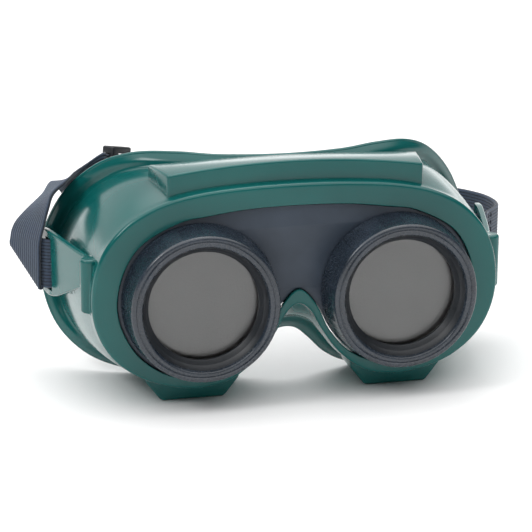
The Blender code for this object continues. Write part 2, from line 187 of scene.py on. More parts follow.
def addNode(tree, kind, settings=None, links=None):
    node = tree.nodes.new(kind)
    for key, value in (settings or {}).items():
        if not isinstance(key, str) or key in node.inputs:
            node.inputs[key].default_value = value
        else:
            setattr(node, key, value)
    for key, source in (links or {}).items():
        tree.links.new(source, node.inputs[key])
    return node


def perMm(size):
    # a texture scale that repeats every so many millimetres
    return 1000 / size


def newMaterial(name):
    material = bpy.data.materials.new(name)
    material.use_nodes = True
    tree = material.node_tree
    return material, tree, tree.nodes["Principled BSDF"]


def setShader(shader, settings):
    for key, value in settings.items():
        shader.inputs[key].default_value = value


def ramp(tree, source, stops):
    node = addNode(tree, "ShaderNodeValToRGB", links={"Fac": source})
    while len(node.color_ramp.elements) < len(stops):
        node.color_ramp.elements.new(0.5)
    for element, (at, colour) in zip(node.color_ramp.elements, stops):
        element.position = at
        element.color = colour
    return node.outputs["Color"]


def grey(value):
    return (value, value, value, 1)


def glossyVinyl():
    # Plasticised PVC, injection moulded in a polished tool: a deep even green with a wet shine,
    # faint flow clouds and a very slight orange peel that breaks up the reflections.
    spec = {"dark": "0a4f4e", "light": "0f5b58", "cloudMm": 45, "peelMm": 9, "dustMm": 2.5}
    material, tree, shader = newMaterial("glossyVinyl")
    place = addNode(tree, "ShaderNodeTexCoord").outputs["Object"]
    cloud = addNode(tree, "ShaderNodeTexNoise", {"Scale": perMm(spec["cloudMm"]), "Detail": 4.0},
                    {"Vector": place})
    colour = ramp(tree, cloud.outputs["Fac"], ((0.3, linear(spec["dark"])), (0.7, linear(spec["light"]))))
    tree.links.new(colour, shader.inputs["Base Color"])
    dust = addNode(tree, "ShaderNodeTexNoise", {"Scale": perMm(spec["dustMm"]), "Detail": 6.0},
                   {"Vector": place})
    rough = ramp(tree, dust.outputs["Fac"], ((0.35, grey(0.17)), (0.75, grey(0.21))))
    tree.links.new(rough, shader.inputs["Roughness"])
    peel = addNode(tree, "ShaderNodeTexNoise", {"Scale": perMm(spec["peelMm"]), "Detail": 2.0},
                   {"Vector": place})
    bump = addNode(tree, "ShaderNodeBump", {"Strength": 0.03, "Distance": 0.0004},
                   {"Height": peel.outputs["Fac"]})
    tree.links.new(bump.outputs["Normal"], shader.inputs["Normal"])
    setShader(shader, {"IOR": 1.53, "Specular IOR Level": 0.32, "Coat Weight": 0.1,
                       "Coat Roughness": 0.05})
    return material


def satinNylon():
    # Glass-filled nylon, injection moulded in a spark-eroded tool: slate grey with a fine stipple
    # that gives a soft satin sheen, with faint paler clouds that shine a little more.
    spec = {"dark": "2f3844", "light": "3c4653", "cloudMm": 18, "stippleMm": 0.45}
    material, tree, shader = newMaterial("satinNylon")
    place = addNode(tree, "ShaderNodeTexCoord").outputs["Object"]
    cloud = addNode(tree, "ShaderNodeTexNoise", {"Scale": perMm(spec["cloudMm"]), "Detail": 5.0},
                    {"Vector": place})
    colour = ramp(tree, cloud.outputs["Fac"], ((0.3, linear(spec["dark"])), (0.75, linear(spec["light"]))))
    tree.links.new(colour, shader.inputs["Base Color"])
    stipple = addNode(tree, "ShaderNodeTexNoise", {"Scale": perMm(spec["stippleMm"]), "Detail": 3.0},
                      {"Vector": place})
    rough = ramp(tree, cloud.outputs["Fac"], ((0.3, grey(0.44)), (0.8, grey(0.36))))
    tree.links.new(rough, shader.inputs["Roughness"])
    bump = addNode(tree, "ShaderNodeBump", {"Strength": 0.25, "Distance": 0.00008},
                   {"Height": stipple.outputs["Fac"]})
    tree.links.new(bump.outputs["Normal"], shader.inputs["Normal"])
    setShader(shader, {"IOR": 1.53, "Specular IOR Level": 0.35})
    return material


def glossyPhenolic():
    # Compression-moulded phenolic, tumbled: blue-black with a hard polish that turns every bevel
    # into a bright line, and fine dull scuffs all over.
    spec = {"dark": "1d252e", "light": "2b343f", "cloudMm": 12, "scuffMm": 1.6}
    material, tree, shader = newMaterial("glossyPhenolic")
    place = addNode(tree, "ShaderNodeTexCoord").outputs["Object"]
    cloud = addNode(tree, "ShaderNodeTexNoise", {"Scale": perMm(spec["cloudMm"]), "Detail": 4.0},
                    {"Vector": place})
    colour = ramp(tree, cloud.outputs["Fac"], ((0.3, linear(spec["dark"])), (0.75, linear(spec["light"]))))
    tree.links.new(colour, shader.inputs["Base Color"])
    scuff = addNode(tree, "ShaderNodeTexNoise", {"Scale": perMm(spec["scuffMm"]), "Detail": 6.0,
                    "Distortion": 1.0}, {"Vector": place})
    rough = ramp(tree, scuff.outputs["Fac"], ((0.4, grey(0.24)), (0.75, grey(0.33))))
    tree.links.new(rough, shader.inputs["Roughness"])
    bump = addNode(tree, "ShaderNodeBump", {"Strength": 0.03, "Distance": 0.00004},
                   {"Height": scuff.outputs["Fac"]})
    tree.links.new(bump.outputs["Normal"], shader.inputs["Normal"])
    setShader(shader, {"IOR": 1.6})
    return material


def ribbedWebbing():
    # Woven elastic webbing: blue-grey polyester over rubber cores. The mesh has the ribs; this
    # adds the crossing weft threads, drawn every 1.6 mm so that they show, painted shade in the grooves
    # between the ribs, and a dry fuzzy sheen.
    spec = {"valley": "19212d", "thread": "37465a", "weftMm": 1.6, "fuzzMm": 0.35, "wearMm": 14,
            "ribMm": 20 / 15}
    material, tree, shader = newMaterial("ribbedWebbing")
    uv = addNode(tree, "ShaderNodeTexCoord").outputs["UV"]
    place = addNode(tree, "ShaderNodeTexCoord").outputs["Object"]
    # UV is in metres: U across the width, V along the length. A wave of scale 1 repeats every tau / 20.
    weft = addNode(tree, "ShaderNodeTexWave",
                   {"bands_direction": "Y", "Scale": perMm(spec["weftMm"]) / 20 * math.tau,
                    "Distortion": 0.6, "Detail": 2.0}, {"Vector": uv})
    fuzz = addNode(tree, "ShaderNodeTexNoise", {"Scale": perMm(spec["fuzzMm"]), "Detail": 4.0},
                   {"Vector": place})
    wear = addNode(tree, "ShaderNodeTexNoise", {"Scale": perMm(spec["wearMm"]), "Detail": 3.0},
                   {"Vector": place})
    mixed = addNode(tree, "ShaderNodeMath", {"operation": "MULTIPLY_ADD", 1: 0.3},
                    {0: weft.outputs["Fac"], 2: fuzz.outputs["Fac"]})
    # painted shade between the ribs: the grooves are coloured darker where shade falls
    split = addNode(tree, "ShaderNodeSeparateXYZ", links={0: uv})
    turns = addNode(tree, "ShaderNodeMath", {"operation": "MULTIPLY", 1: perMm(spec["ribMm"]) * math.pi},
                    {0: split.outputs["X"]})
    wave = addNode(tree, "ShaderNodeMath", {"operation": "SINE"}, {0: turns.outputs["Value"]})
    crest = addNode(tree, "ShaderNodeMath", {"operation": "ABSOLUTE"}, {0: wave.outputs["Value"]})
    level = addNode(tree, "ShaderNodeMath", {"operation": "MULTIPLY_ADD", 1: 0.45},
                    {0: mixed.outputs["Value"], 2: crest.outputs["Value"]})
    threads = ramp(tree, level.outputs["Value"],
                   ((0.45, linear(spec["valley"])), (1.0, linear(spec["thread"]))))
    worn = addNode(tree, "ShaderNodeMix", {"data_type": "RGBA", "blend_type": "MULTIPLY", "Factor": 0.25},
                   {6: threads, 7: wear.outputs["Color"]})
    tree.links.new(worn.outputs[2], shader.inputs["Base Color"])
    bump = addNode(tree, "ShaderNodeBump", {"Strength": 0.35, "Distance": 0.00012},
                   {"Height": mixed.outputs["Value"]})
    tree.links.new(bump.outputs["Normal"], shader.inputs["Normal"])
    setShader(shader, {"Roughness": 0.85, "IOR": 1.5, "Sheen Weight": 0.25, "Sheen Roughness": 0.5})
    return material


def mouldedAcetal():
    # Black acetal, injection moulded: nearly black, waxy, with a fine even grain.
    spec = {"dark": "14171b", "light": "20252b", "grainMm": 0.5}
    material, tree, shader = newMaterial("mouldedAcetal")
    place = addNode(tree, "ShaderNodeTexCoord").outputs["Object"]
    grain = addNode(tree, "ShaderNodeTexNoise", {"Scale": perMm(spec["grainMm"]), "Detail": 4.0},
                    {"Vector": place})
    colour = ramp(tree, grain.outputs["Fac"], ((0.3, linear(spec["dark"])), (0.7, linear(spec["light"]))))
    tree.links.new(colour, shader.inputs["Base Color"])
    bump = addNode(tree, "ShaderNodeBump", {"Strength": 0.2, "Distance": 0.0001},
                   {"Height": grain.outputs["Fac"]})
    tree.links.new(bump.outputs["Normal"], shader.inputs["Normal"])
    setShader(shader, {"Roughness": 0.42, "IOR": 1.48})
    return material


def floatGlass():
    # Clear float glass, cut round and thin enough that it bends nothing: light goes straight
    # through, with a sharp reflection that grows towards the edge of sight and faint smears.
    material, tree, shader = newMaterial("floatGlass")
    tree.nodes.remove(shader)
    place = addNode(tree, "ShaderNodeTexCoord").outputs["Object"]
    smear = addNode(tree, "ShaderNodeTexNoise", {"Scale": perMm(16), "Detail": 5.0, "Distortion": 1.5},
                    {"Vector": place})
    rough = ramp(tree, smear.outputs["Fac"], ((0.45, grey(0.02)), (0.75, grey(0.06))))
    clear = addNode(tree, "ShaderNodeBsdfTransparent", {"Color": linear("f8f8f8")})
    shine = addNode(tree, "ShaderNodeBsdfGlossy", {"Color": grey(0.9)}, {"Roughness": rough})
    turning = addNode(tree, "ShaderNodeFresnel", {"IOR": 1.45})
    mixed = addNode(tree, "ShaderNodeMixShader", links={0: turning.outputs["Fac"],
                    1: clear.outputs["BSDF"], 2: shine.outputs["BSDF"]})
    tree.links.new(mixed.outputs["Shader"], tree.nodes["Material Output"].inputs["Surface"])
    return material


def shadeGlass():
    # Welding shade glass, dyed in the melt: it passes almost no light, so by daylight it reads as
    # a flat neutral grey with a soft reflection and a little haze of smoke film.
    spec = {"dark": "737373", "light": "797979", "filmMm": 18}
    material, tree, shader = newMaterial("shadeGlass")
    place = addNode(tree, "ShaderNodeTexCoord").outputs["Object"]
    film = addNode(tree, "ShaderNodeTexNoise", {"Scale": perMm(spec["filmMm"]), "Detail": 5.0},
                   {"Vector": place})
    colour = ramp(tree, film.outputs["Fac"], ((0.3, linear(spec["dark"])), (0.7, linear(spec["light"]))))
    tree.links.new(colour, shader.inputs["Base Color"])
    rough = ramp(tree, film.outputs["Fac"], ((0.3, grey(0.3)), (0.7, grey(0.4))))
    tree.links.new(rough, shader.inputs["Roughness"])
    setShader(shader, {"IOR": 1.52})
    return material


def mouldedRubber():
    # Black nitrile rubber, die cut: dull, with a slight bloom.
    material, tree, shader = newMaterial("mouldedRubber")
    place = addNode(tree, "ShaderNodeTexCoord").outputs["Object"]
    bloom = addNode(tree, "ShaderNodeTexNoise", {"Scale": perMm(3), "Detail": 6.0}, {"Vector": place})
    colour = ramp(tree, bloom.outputs["Fac"], ((0.3, linear("121212")), (0.8, linear("242526"))))
    tree.links.new(colour, shader.inputs["Base Color"])
    setShader(shader, {"Roughness": 0.8, "IOR": 1.52})
    return material


def pressedFibre():
    # Vulcanised fibre washer: pale grey, matted fibres, dull.
    material, tree, shader = newMaterial("pressedFibre")
    place = addNode(tree, "ShaderNodeTexCoord").outputs["Object"]
    fibres = addNode(tree, "ShaderNodeTexNoise", {"Scale": perMm(1.2), "Detail": 8.0, "Distortion": 2.0},
                     {"Vector": place})
    colour = ramp(tree, fibres.outputs["Fac"], ((0.3, linear("6d6c68")), (0.75, linear("8f8e88"))))
    tree.links.new(colour, shader.inputs["Base Color"])
    bump = addNode(tree, "ShaderNodeBump", {"Strength": 0.3, "Distance": 0.0001},
                   {"Height": fibres.outputs["Fac"]})
    tree.links.new(bump.outputs["Normal"], shader.inputs["Normal"])
    setShader(shader, {"Roughness": 0.7, "IOR": 1.5})
    return material


vinyl = glossyVinyl()
nylon = satinNylon()
phenolic = glossyPhenolic()
webbing = ribbedWebbing()
acetal = mouldedAcetal()
glass = floatGlass()
shade = shadeGlass()
rubber = mouldedRubber()
fibre = pressedFibre()
print("materials made")


def addPiece(piece, material, body="root", nodes=()):
    piece.data.materials.clear()
    piece.data.materials.append(material)
    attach(piece, body)
    if nodes:
        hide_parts(*nodes)


# Camera and light: from a little to the side of the front, and a little above

camera = {"azimuth": -13.3, "elevation": 16.0, "roll": 0.1, "distance": 685.7, "lens": 124.3,
          "aside": -15.8, "above": 14.2}


def addCamera():
    a, e, r = (math.radians(camera[key]) for key in ("azimuth", "elevation", "roll"))
    back = Vector((math.sin(a) * math.cos(e), -math.cos(a) * math.cos(e), math.sin(e)))
    flat = Vector((0, 0, 1)).cross(back).normalized()
    upright = back.cross(flat)
    right = flat * math.cos(r) + upright * math.sin(r)
    above = upright * math.cos(r) - flat * math.sin(r)
    data = bpy.data.cameras.new("camera")
    data.lens = camera["lens"]
    data.clip_start = 0.01
    eye = bpy.data.objects.new("camera", data)
    bpy.context.scene.collection.objects.link(eye)
    turn = Matrix((right, above, back)).transposed().to_4x4()
    spot = back * camera["distance"] + right * camera["aside"] + above * camera["above"]
    turn.translation = spot / 1000 + drawingOrigin
    eye.matrix_world = turn
    bpy.context.scene.camera = eye


lights = (  # name, where it stands and its target in metres, size, power in watts
    ("leftWindow", (-0.8, -0.3, 0.8), (-0.05, 0, 0.05), 0.3, 2.4),
    ("topPanel", (0.1, 0.25, 1.2), (0, 0, 0.04), 0.5, 1.8),
)
room = {"walls": 0.05, "ceiling": 1.95, "backdrop": 0.9}


def band(tree, value, low, high):
    # 0 below low, 1 above high, and smooth between
    node = addNode(tree, "ShaderNodeMapRange", {"interpolation_type": "SMOOTHSTEP", "From Min": low,
                   "From Max": high}, {"Value": value})
    return node.outputs["Result"]


def addRoom():
    # a dark room with a lit ceiling, and a white backdrop behind the goggles
    world = bpy.data.worlds.new("whiteRoom")
    world.use_nodes = True
    tree = world.node_tree
    direction = addNode(tree, "ShaderNodeTexCoord").outputs["Generated"]
    look = addNode(tree, "ShaderNodeSeparateXYZ", links={0: direction})
    ceiling = addNode(tree, "ShaderNodeMath", {"operation": "MULTIPLY_ADD", 1: room["ceiling"],
                      2: room["walls"]}, {0: band(tree, look.outputs["Z"], 0.5, 0.75)})
    total = addNode(tree, "ShaderNodeMath", {"operation": "MULTIPLY_ADD", 1: room["backdrop"]},
                    {0: band(tree, look.outputs["Y"], 0.55, 0.8), 2: ceiling.outputs["Value"]})
    # white along the horizon, where the paper ends
    glow = addNode(tree, "ShaderNodeMath", {"operation": "MULTIPLY_ADD", 1: -1.0},
                   {0: band(tree, look.outputs["Z"], 0.08, 0.2), 2: total.outputs["Value"]})
    level = addNode(tree, "ShaderNodeMath", {"operation": "ADD", 1: 1.0}, {0: glow.outputs["Value"]})
    tree.links.new(level.outputs["Value"], tree.nodes["Background"].inputs["Strength"])
    tree.nodes["Background"].inputs["Color"].default_value = (1, 1, 1, 1)
    bpy.context.scene.world = world


def addStudio():
    for name, spot, target, size, power in lights:
        data = bpy.data.lights.new(name, "AREA")
        data.shape = "SQUARE"
        data.size = size
        data.energy = power
        lamp = bpy.data.objects.new(name, data)
        bpy.context.scene.collection.objects.link(lamp)
        lamp.location = spot
        lamp.rotation_euler = (Vector(target) - Vector(spot)).to_track_quat("-Z", "Y").to_euler()
    bpy.context.scene.view_settings.view_transform = "Standard"
    material, tree, shader = newMaterial("paperSweep")
    place = addNode(tree, "ShaderNodeTexCoord").outputs["Object"]
    tone = addNode(tree, "ShaderNodeTexNoise", {"Scale": 3.0}, {"Vector": place})
    colour = ramp(tree, tone.outputs["Fac"], ((0.3, grey(0.9)), (0.7, grey(0.93))))
    tree.links.new(colour, shader.inputs["Base Color"])
    setShader(shader, {"Roughness": 0.9})
    half = 40.0
    mesh = bpy.data.meshes.new("floor")
    corners = [(-half, -half, 0), (half, -half, 0), (half, half, 0), (-half, half, 0)]
    mesh.from_pydata(corners, [], [(0, 1, 2, 3)])
    mesh.materials.append(material)
    newObject("floor", mesh)


addCamera()
addRoom()
addStudio()
print("camera, lights and floor placed")


# The mask: one soft moulding with its rim, face flange, nose arch and strap ears

mask = {
    "rimDepth": 13.2, "rimEdgeDepth": 16.6, "wall": 2.2, "flangeWidth": 6.5, "flangeDepth": 6.0,
    "openingRadius": 31.3, "openingNoseRadius": 30.5, "outlineSteps": 7, "sideSteps": 4,
    "rimEdge": ((0, 43.3), (22, 42.7), (40, 40.9), (54, 37.3), (66, 30.6), (74.8, 20.3), (79, 7.5),
                (78.8, -6.5), (73.5, -19), (63.5, -28.3), (51, -33.6), (38.5, -35.3), (26.5, -32.8),
                (16.0, -24.8), (8.7, -14.6), (4.6, -7.4), (0, -4.4)),
    "faceEdge": ((0, 42, 49), (24, 45, 49.2), (40, 51, 49.8), (56, 59.5, 48.4), (69.5, 69, 42),
                 (82, 78.5, 28.5), (90, 83.5, 10), (91, 81, -8.5), (86.3, 72.3, -24.3),
                 (74.8, 62, -35), (58, 53.5, -39.9), (42, 48, -40.7), (28, 44, -39.5),
                 (17, 40, -33.5), (9, 37, -25.5), (4.2, 35.5, -21.2), (0, 35, -20)),
    "openingTop": ((0, 34.8), (19.5, 34.2), (35, 32.3)),
    "openingAngles": (13, 41, 62, 85, 105, 128, 148, 165, 180, 198, 219, 240),
    "openingNose": ((6.6, -4.4), (0, 1.6)),
    # the rounded corner of the rim: how far in from its edge, and how far back from its face
    "rimCorner": ((2.6, 0.0), (1.5, 0.06), (0.95, 0.25), (0.5, 0.6), (0.2, 1.15), (0.05, 1.9)),
    "openingCorner": ((0, 0.4), (0.12, 0.12), (0.4, 0.0)), "lipRadius": 1.25,
}


def openingOutline(steps):
    eyeRound = []
    for angle in mask["openingAngles"]:
        radius = mask["openingRadius"] if angle <= 180 else mask["openingNoseRadius"]
        turn = math.radians(angle)
        eyeRound.append((eyeX + radius * math.sin(turn), radius * math.cos(turn)))
    return wholeOutline((*mask["openingTop"], *eyeRound, *mask["openingNose"]), steps)


def towards(row, target, inset, y):
    # a row of the front, set in from one edge towards the other
    moved = []
    for p, q in zip(row, target):
        gap = Vector((q.x - p.x, 0, q.z - p.z)).length
        moved.append(p.lerp(q, inset * min(1, 0.25 * gap) / gap))
    return atDepth(moved, y)


def maskRows():
    steps = mask["outlineSteps"]
    front = mask["rimDepth"]
    opening = openingOutline(steps)
    rim = atDepth(wholeOutline(mask["rimEdge"], steps), mask["rimEdgeDepth"])
    face = wholeOutline(mask["faceEdge"], steps)
    root = grown(face, -mask["flangeWidth"], mask["flangeDepth"])
    rows = [towards(opening, rim, inset, front + back) for inset, back in mask["openingCorner"]]
    corner = [towards(rim, opening, inset, front + back) for inset, back in mask["rimCorner"]]
    rows.append([a.lerp(b, 0.5) for a, b in zip(rows[-1], corner[0])])
    rows += corner
    keys = [rim]
    for part, bulge in ((0.3, 1.0), (0.65, 1.2)):
        keys.append(grown([a.lerp(b, part) for a, b in zip(rim, root)], bulge))
    keys += [root, [a.lerp(b, 0.5) - Vector((0, 0.6, 0)) for a, b in zip(root, face)], face]
    columns = [smoothLine(column, mask["sideSteps"]) for column in zip(*keys)]
    return rows, [list(row) for row in zip(*columns)]


def toRows(grid):
    return [[Vector(p) for p in row] for row in grid]


def maskSkin(front, side):
    # a closed wall: out over the front and side, round the lip, and back along the inside
    wall = mask["wall"]
    grid = np.array([[tuple(p) for p in row] for row in side])
    across = np.roll(grid, -1, 1) - np.roll(grid, 1, 1)
    along = np.gradient(grid, axis=0)
    outward = np.cross(across, along)
    outward /= np.linalg.norm(outward, axis=2, keepdims=True)
    inner = grid - outward * wall
    ahead = along[-1] / np.linalg.norm(along[-1], axis=1, keepdims=True)
    lip = []
    middle = grid[-1] - outward[-1] * wall / 2 - ahead * mask["lipRadius"]
    for degrees in range(-30, 211, 20):
        turn = math.radians(degrees)
        lip.append(middle + (outward[-1] * math.cos(turn) + ahead * math.sin(turn)) * mask["lipRadius"])
    opening = atDepth(front[0], mask["rimDepth"] + wall)
    step = [b.lerp(a, 0.2) for a, b in zip(opening, toRows(inner[:1])[0])]
    rows = front + toRows(grid[:-1]) + toRows(lip) + toRows(inner[-2::-1])
    rows += [atDepth(step, mask["rimDepth"] + wall), opening]
    count = len(rows[0])
    points, faces = loft(rows)
    last = (len(rows) - 1) * count
    for k in range(count):
        n = (k + 1) % count
        faces.append((last + k, last + n, n, k))
    return newObject("maskSkin", meshFrom("maskSkin", points, faces, 32))


def envelope(name, rows, growth):
    # the mask's outside as one solid, to trim what is fitted on it
    solid = [grown(row, growth) for row in rows]
    solid.append(atDepth(solid[-1], 105))
    return newObject(name, meshFrom(name, *loft(solid, capped=True)))


ear = {
    "line": ((78.6, 20, 16.5, 5.5), (82.0, 31, 16.8, 2.5), (85.3, 43, 17.3, -2.5),
             (88.2, 54, 17.8, -7.0), (90.2, 62, 18.0, -8.6), (91.4, 68.5, 17.4, -8.0)),
    "thickness": 2.6, "rib": (79.0, 21.6, 6.3), "ribRadius": 3.5, "ribHeight": 21,
    "slot": (88.6, 60.2, 4.7), "slotSize": (9, 5.6, 21.4), "slant": 12.0, "edge": 0.7,
}
air = {  # the slots under the covers: distance apart, depth and height, size
    "top": (16, (27.1, 42), (10, 4, 12)), "low": (7, (28.5, -34), (4.5, 8, 10)),
}


def smoothLine4(rows, steps):
    # as smoothLine, for rows of four numbers
    front = smoothLine([row[:3] for row in rows], steps)
    low = smoothLine([(row[3], 0, 0) for row in rows], steps)
    return [(p.x, p.y, p.z, q.x) for p, q in zip(front, low)]


def makeEar(side):
    rows = []
    for x, y, top, bottom in smoothLine4(ear["line"], 3):
        inner = x - ear["thickness"]
        rows.append([Vector((side * x, y, top)), Vector((side * x, y, bottom)),
                     Vector((side * inner, y, bottom)), Vector((side * inner, y, top))])
    strip = newObject("earStrip", meshFrom("earStrip", *loft(rows, capped=True)))
    roundEdges(strip, ear["edge"], 3, 55)
    settle(strip)
    x, y, z = ear["rib"]
    rings = []
    for height in (-0.5, 0.5):
        rings.append([Vector((side * x + ear["ribRadius"] * math.cos(k * math.tau / 40),
                              y + ear["ribRadius"] * math.sin(k * math.tau / 40),
                              z + height * ear["ribHeight"])) for k in range(40)])
    rib = newObject("earRib", meshFrom("earRib", *loft(rings, capped=True)))
    roundEdges(rib, 1.2, 4, 55)
    settle(rib)
    cutWith(rib, strip, "UNION")
    return rib


def makeMask():
    front, side = maskRows()
    skin = maskSkin(front, side)
    for sign, _ in sides:
        cutWith(skin, makeEar(sign), "UNION")
        x, y, z = ear["slot"]
        cutWith(skin, boxTool("slotTool", [(sign * x, y, z)], ear["slotSize"], -sign * ear["slant"]))
    gap, place, size = air["top"]
    cutWith(skin, boxTool("topAir", [(i * gap, *place) for i in range(-2, 3)], size))
    gap, place, size = air["low"]
    low = [(sign * cover["x"] + i * gap, *place) for sign in (-1, 1) for i in (-1, 0, 1)]
    cutWith(skin, boxTool("lowAir", low, size))
    addModifier(skin, "WEIGHTED_NORMAL", keep_sharp=True)
    settle(skin, 32)
    addPiece(skin, vinyl, nodes=("mask_body",))
    return front + side


# Vent covers

hood = {
    "wall": 1.6, "edge": 0.9,
    # depth, half width, height of the top in the middle and at the ends
    "sections": ((17.9, 49.5, 51.2, 47.4), (28, 51.5, 50.3, 47.6), (38.5, 53.5, 48.8, 47.4)),
    "foot": 33, "arcSteps": 24,
}
cover = {
    "x": 40.5, "halfTop": 18.5, "halfBottom": 12.3, "front": 18.6, "back": 38.5, "wall": 1.6,
    "knee": -33, "top": -24, "floor": -41.0, "edge": 1.4,
    "outlets": (-7, 0, 7), "outletSize": (4, 6, 2.6), "outletZ": -37.6,
}


def hoodSection(y, halfWidth, top, ends, foot, inset=0.0):
    halfWidth -= inset
    steps = hood["arcSteps"]
    arch = []
    for i in range(-steps, steps + 1):
        part = i / steps
        arch.append(Vector((halfWidth * part, y, top - inset - (top - ends) * part ** 2)))
    return [Vector((-halfWidth, y, foot)), *arch, Vector((halfWidth, y, foot))]


def makeHood(rows):
    outer = [hoodSection(*section, hood["foot"]) for section in hood["sections"]]
    piece = newObject("topVentHood", meshFrom("topVentHood", *loft(outer, capped=True)))
    roundEdges(piece, hood["edge"], 4, 50)
    settle(piece)
    wall = hood["wall"]
    inner = []
    for shift, section in zip((wall, 0, -wall), hood["sections"]):
        inner.append(hoodSection(section[0] + shift, *section[1:], hood["foot"] - 3, wall))
    cutWith(piece, newObject("hoodHollow", meshFrom("hoodHollow", *loft(inner, capped=True))))
    cutWith(piece, envelope("hoodTrim", rows, -0.4))
    settle(piece, 40)
    addPiece(piece, vinyl, nodes=("top_vent_cover",))


def coverSection(y, inset=0.0):
    top, bottom = cover["halfTop"] - inset, cover["halfBottom"] - inset
    floor = cover["floor"] + inset
    line = ((-top, cover["top"]), (-top, cover["knee"]), (-bottom, floor), (bottom, floor),
            (top, cover["knee"]), (top, cover["top"]))
    return [Vector((x, y, z)) for x, z in line]


def makeCover(side, word, rows):
    shift = Vector((side * cover["x"], 0, 0))
    wall = cover["wall"]
    outer = [[p + shift for p in coverSection(y)] for y in (cover["front"], cover["back"])]
    name = f"lowerVentCover_{word}"
    piece = newObject(name, meshFrom(name, *loft(outer, capped=True)))
    roundEdges(piece, cover["edge"], 4, 30)
    settle(piece)
    ends = (cover["front"] + wall, cover["back"] - wall)
    inner = [[p + shift for p in coverSection(y, wall)] for y in ends]
    cutWith(piece, newObject("coverHollow", meshFrom("coverHollow", *loft(inner, capped=True))))
    cutWith(piece, envelope("coverTrim", rows, -0.4))
    centres = [(side * cover["x"] + x, cover["back"], cover["outletZ"]) for x in cover["outlets"]]
    cutWith(piece, boxTool("outletTool", centres, cover["outletSize"]))
    settle(piece, 40)
    addPiece(piece, vinyl, nodes=(f"lower_vent_cover_{word}",))


maskOutside = makeMask()
makeHood(maskOutside)
for side, word in sides:
    makeCover(side, word, maskOutside)
print("mask and vent covers built")


# The lens plate with its two threaded sleeves

plate = {
    "face": 14.8, "flange": 16.0, "back": 18.6, "flangeInset": 3.5, "faceInset": 0.45,
    "clearRadius": 21.0, "bore": 25.35, "sleeveRadius": 26.7, "sleeveFront": 8.0, "columns": 360,
    "threadPitch": 1.75, "threadDepth": 0.45, "edge": 0.35, "outlineSteps": 6,
}


def flatPlate(name, loop, front, back, holeRadius, segments=128):
    # a flat plate from an outline, with a round hole at each eye
    curve = bpy.data.curves.new(name, "CURVE")
    curve.dimensions = "2D"
    curve.fill_mode = "BOTH"
    curve.extrude = (back - front) / 2000
    outlines = [[(p.x, p.z) for p in loop]]
    for side, _ in sides:
        turns = [k * math.tau / segments for k in range(segments)]
        outlines.append([(side * eyeX + holeRadius * math.cos(t), holeRadius * math.sin(t)) for t in turns])
    for outline in outlines:
        spline = curve.splines.new("POLY")
        spline.points.add(len(outline) - 1)
        spline.use_cyclic_u = True
        for point, (x, z) in zip(spline.points, outline):
            point.co = (x / 1000, z / 1000, 0, 1)
    guide = newObject(name, curve)
    guide.matrix_world = Matrix.Translation(toWorld((0, (front + back) / 2, 0))) @ Matrix.Rotation(
        math.radians(90), 4, "X")
    bpy.context.view_layer.update()
    graph = bpy.context.evaluated_depsgraph_get()
    mesh = bpy.data.meshes.new_from_object(guide.evaluated_get(graph))
    mesh.transform(guide.matrix_world)
    bpy.data.objects.remove(guide)
    bm = bmesh.new()
    bm.from_mesh(mesh)
    bmesh.ops.remove_doubles(bm, verts=bm.verts, dist=0.00001)
    bmesh.ops.recalc_face_normals(bm, faces=bm.faces)
    bm.to_mesh(mesh)
    bm.free()
    return newObject(name, mesh)


def lathe(name, profile, centreX, columns, shape=None, smoothAngle=40):
    # a closed profile of (radius, y) turned about a lens axis; shape(r, y, turn) may move a point
    rows = []
    for r, y in profile:
        row = []
        for k in range(columns):
            turn = k * math.tau / columns
            radius = shape(r, y, turn) if shape else r
            row.append(Vector((centreX + radius * math.cos(turn), y, radius * math.sin(turn))))
        rows.append(row)
    points, faces = loft(rows)
    last = (len(rows) - 1) * columns
    for k in range(columns):
        n = (k + 1) % columns
        faces.append((last + k, last + n, n, k))
    return newObject(name, meshFrom(name, points, faces, smoothAngle))


def threadWave(y, turn, pitch, hand=1):
    # a rounded thread: 0 in the valley, 1 on the crest
    return 0.5 + 0.5 * math.cos(math.tau * (y / pitch + hand * turn / math.tau))


def makePlate():
    steps = plate["outlineSteps"]
    body = flatPlate("lensPlate", grown(wholeOutline(mask["rimEdge"], steps), -plate["flangeInset"]),
                     plate["flange"], plate["back"], plate["clearRadius"])
    raised = flatPlate("plateFace", grown(openingOutline(steps), -plate["faceInset"]), plate["face"],
                       plate["flange"] + 0.2, plate["bore"] + 0.6)
    cutWith(body, raised, "UNION")
    roundEdges(body, plate["edge"], 3, 50)
    settle(body)
    addPiece(body, nylon, nodes=("lens_plate",))
    front, back, outer = plate["sleeveFront"], plate["flange"] + 0.1, plate["sleeveRadius"]
    for side, word in sides:
        levels = np.linspace(front + 0.9, back, 44)
        profile = [(plate["bore"], back), (plate["bore"], front + 0.3), (plate["bore"] + 0.25, front),
                   (outer - 0.6, front), (outer - 0.45, front + 0.25)]
        profile += [(outer, y) for y in levels]

        def threaded(r, y, turn):
            if r < outer or y < front + 0.5:
                return r
            return r - plate["threadDepth"] * (1 - threadWave(y, turn, plate["threadPitch"]))

        sleeve = lathe(f"plateSleeve_{word}", profile, side * eyeX, plate["columns"], threaded)
        addPiece(sleeve, nylon)


# The retaining rings: knurled in patches on the outside, threaded inside

ring = {
    "frontRadius": 28.2, "backRadius": 29.9, "backY": 14.2, "threadRadius": 27.1, "mouthRadius": 24.0,
    "lipY": 7.0, "lipThickness": 1.4, "clearRadius": 21.0, "columns": 900,
    "knurlFront": 3.0, "knurlBack": 12.6, "knurlCount": 180, "knurlDepth": 0.32,
    "patches": 12, "patchShare": 0.62, "patchFade": 0.03, "knurlFade": 0.6,
    # the thread starts gently, between these distances behind the lens lip
    "threadDepth": 0.35, "threadFade": (0.3, 1.2),
}


def smoothStep(value, low, high):
    t = min(max((value - low) / (high - low), 0), 1)
    return t * t * (3 - 2 * t)


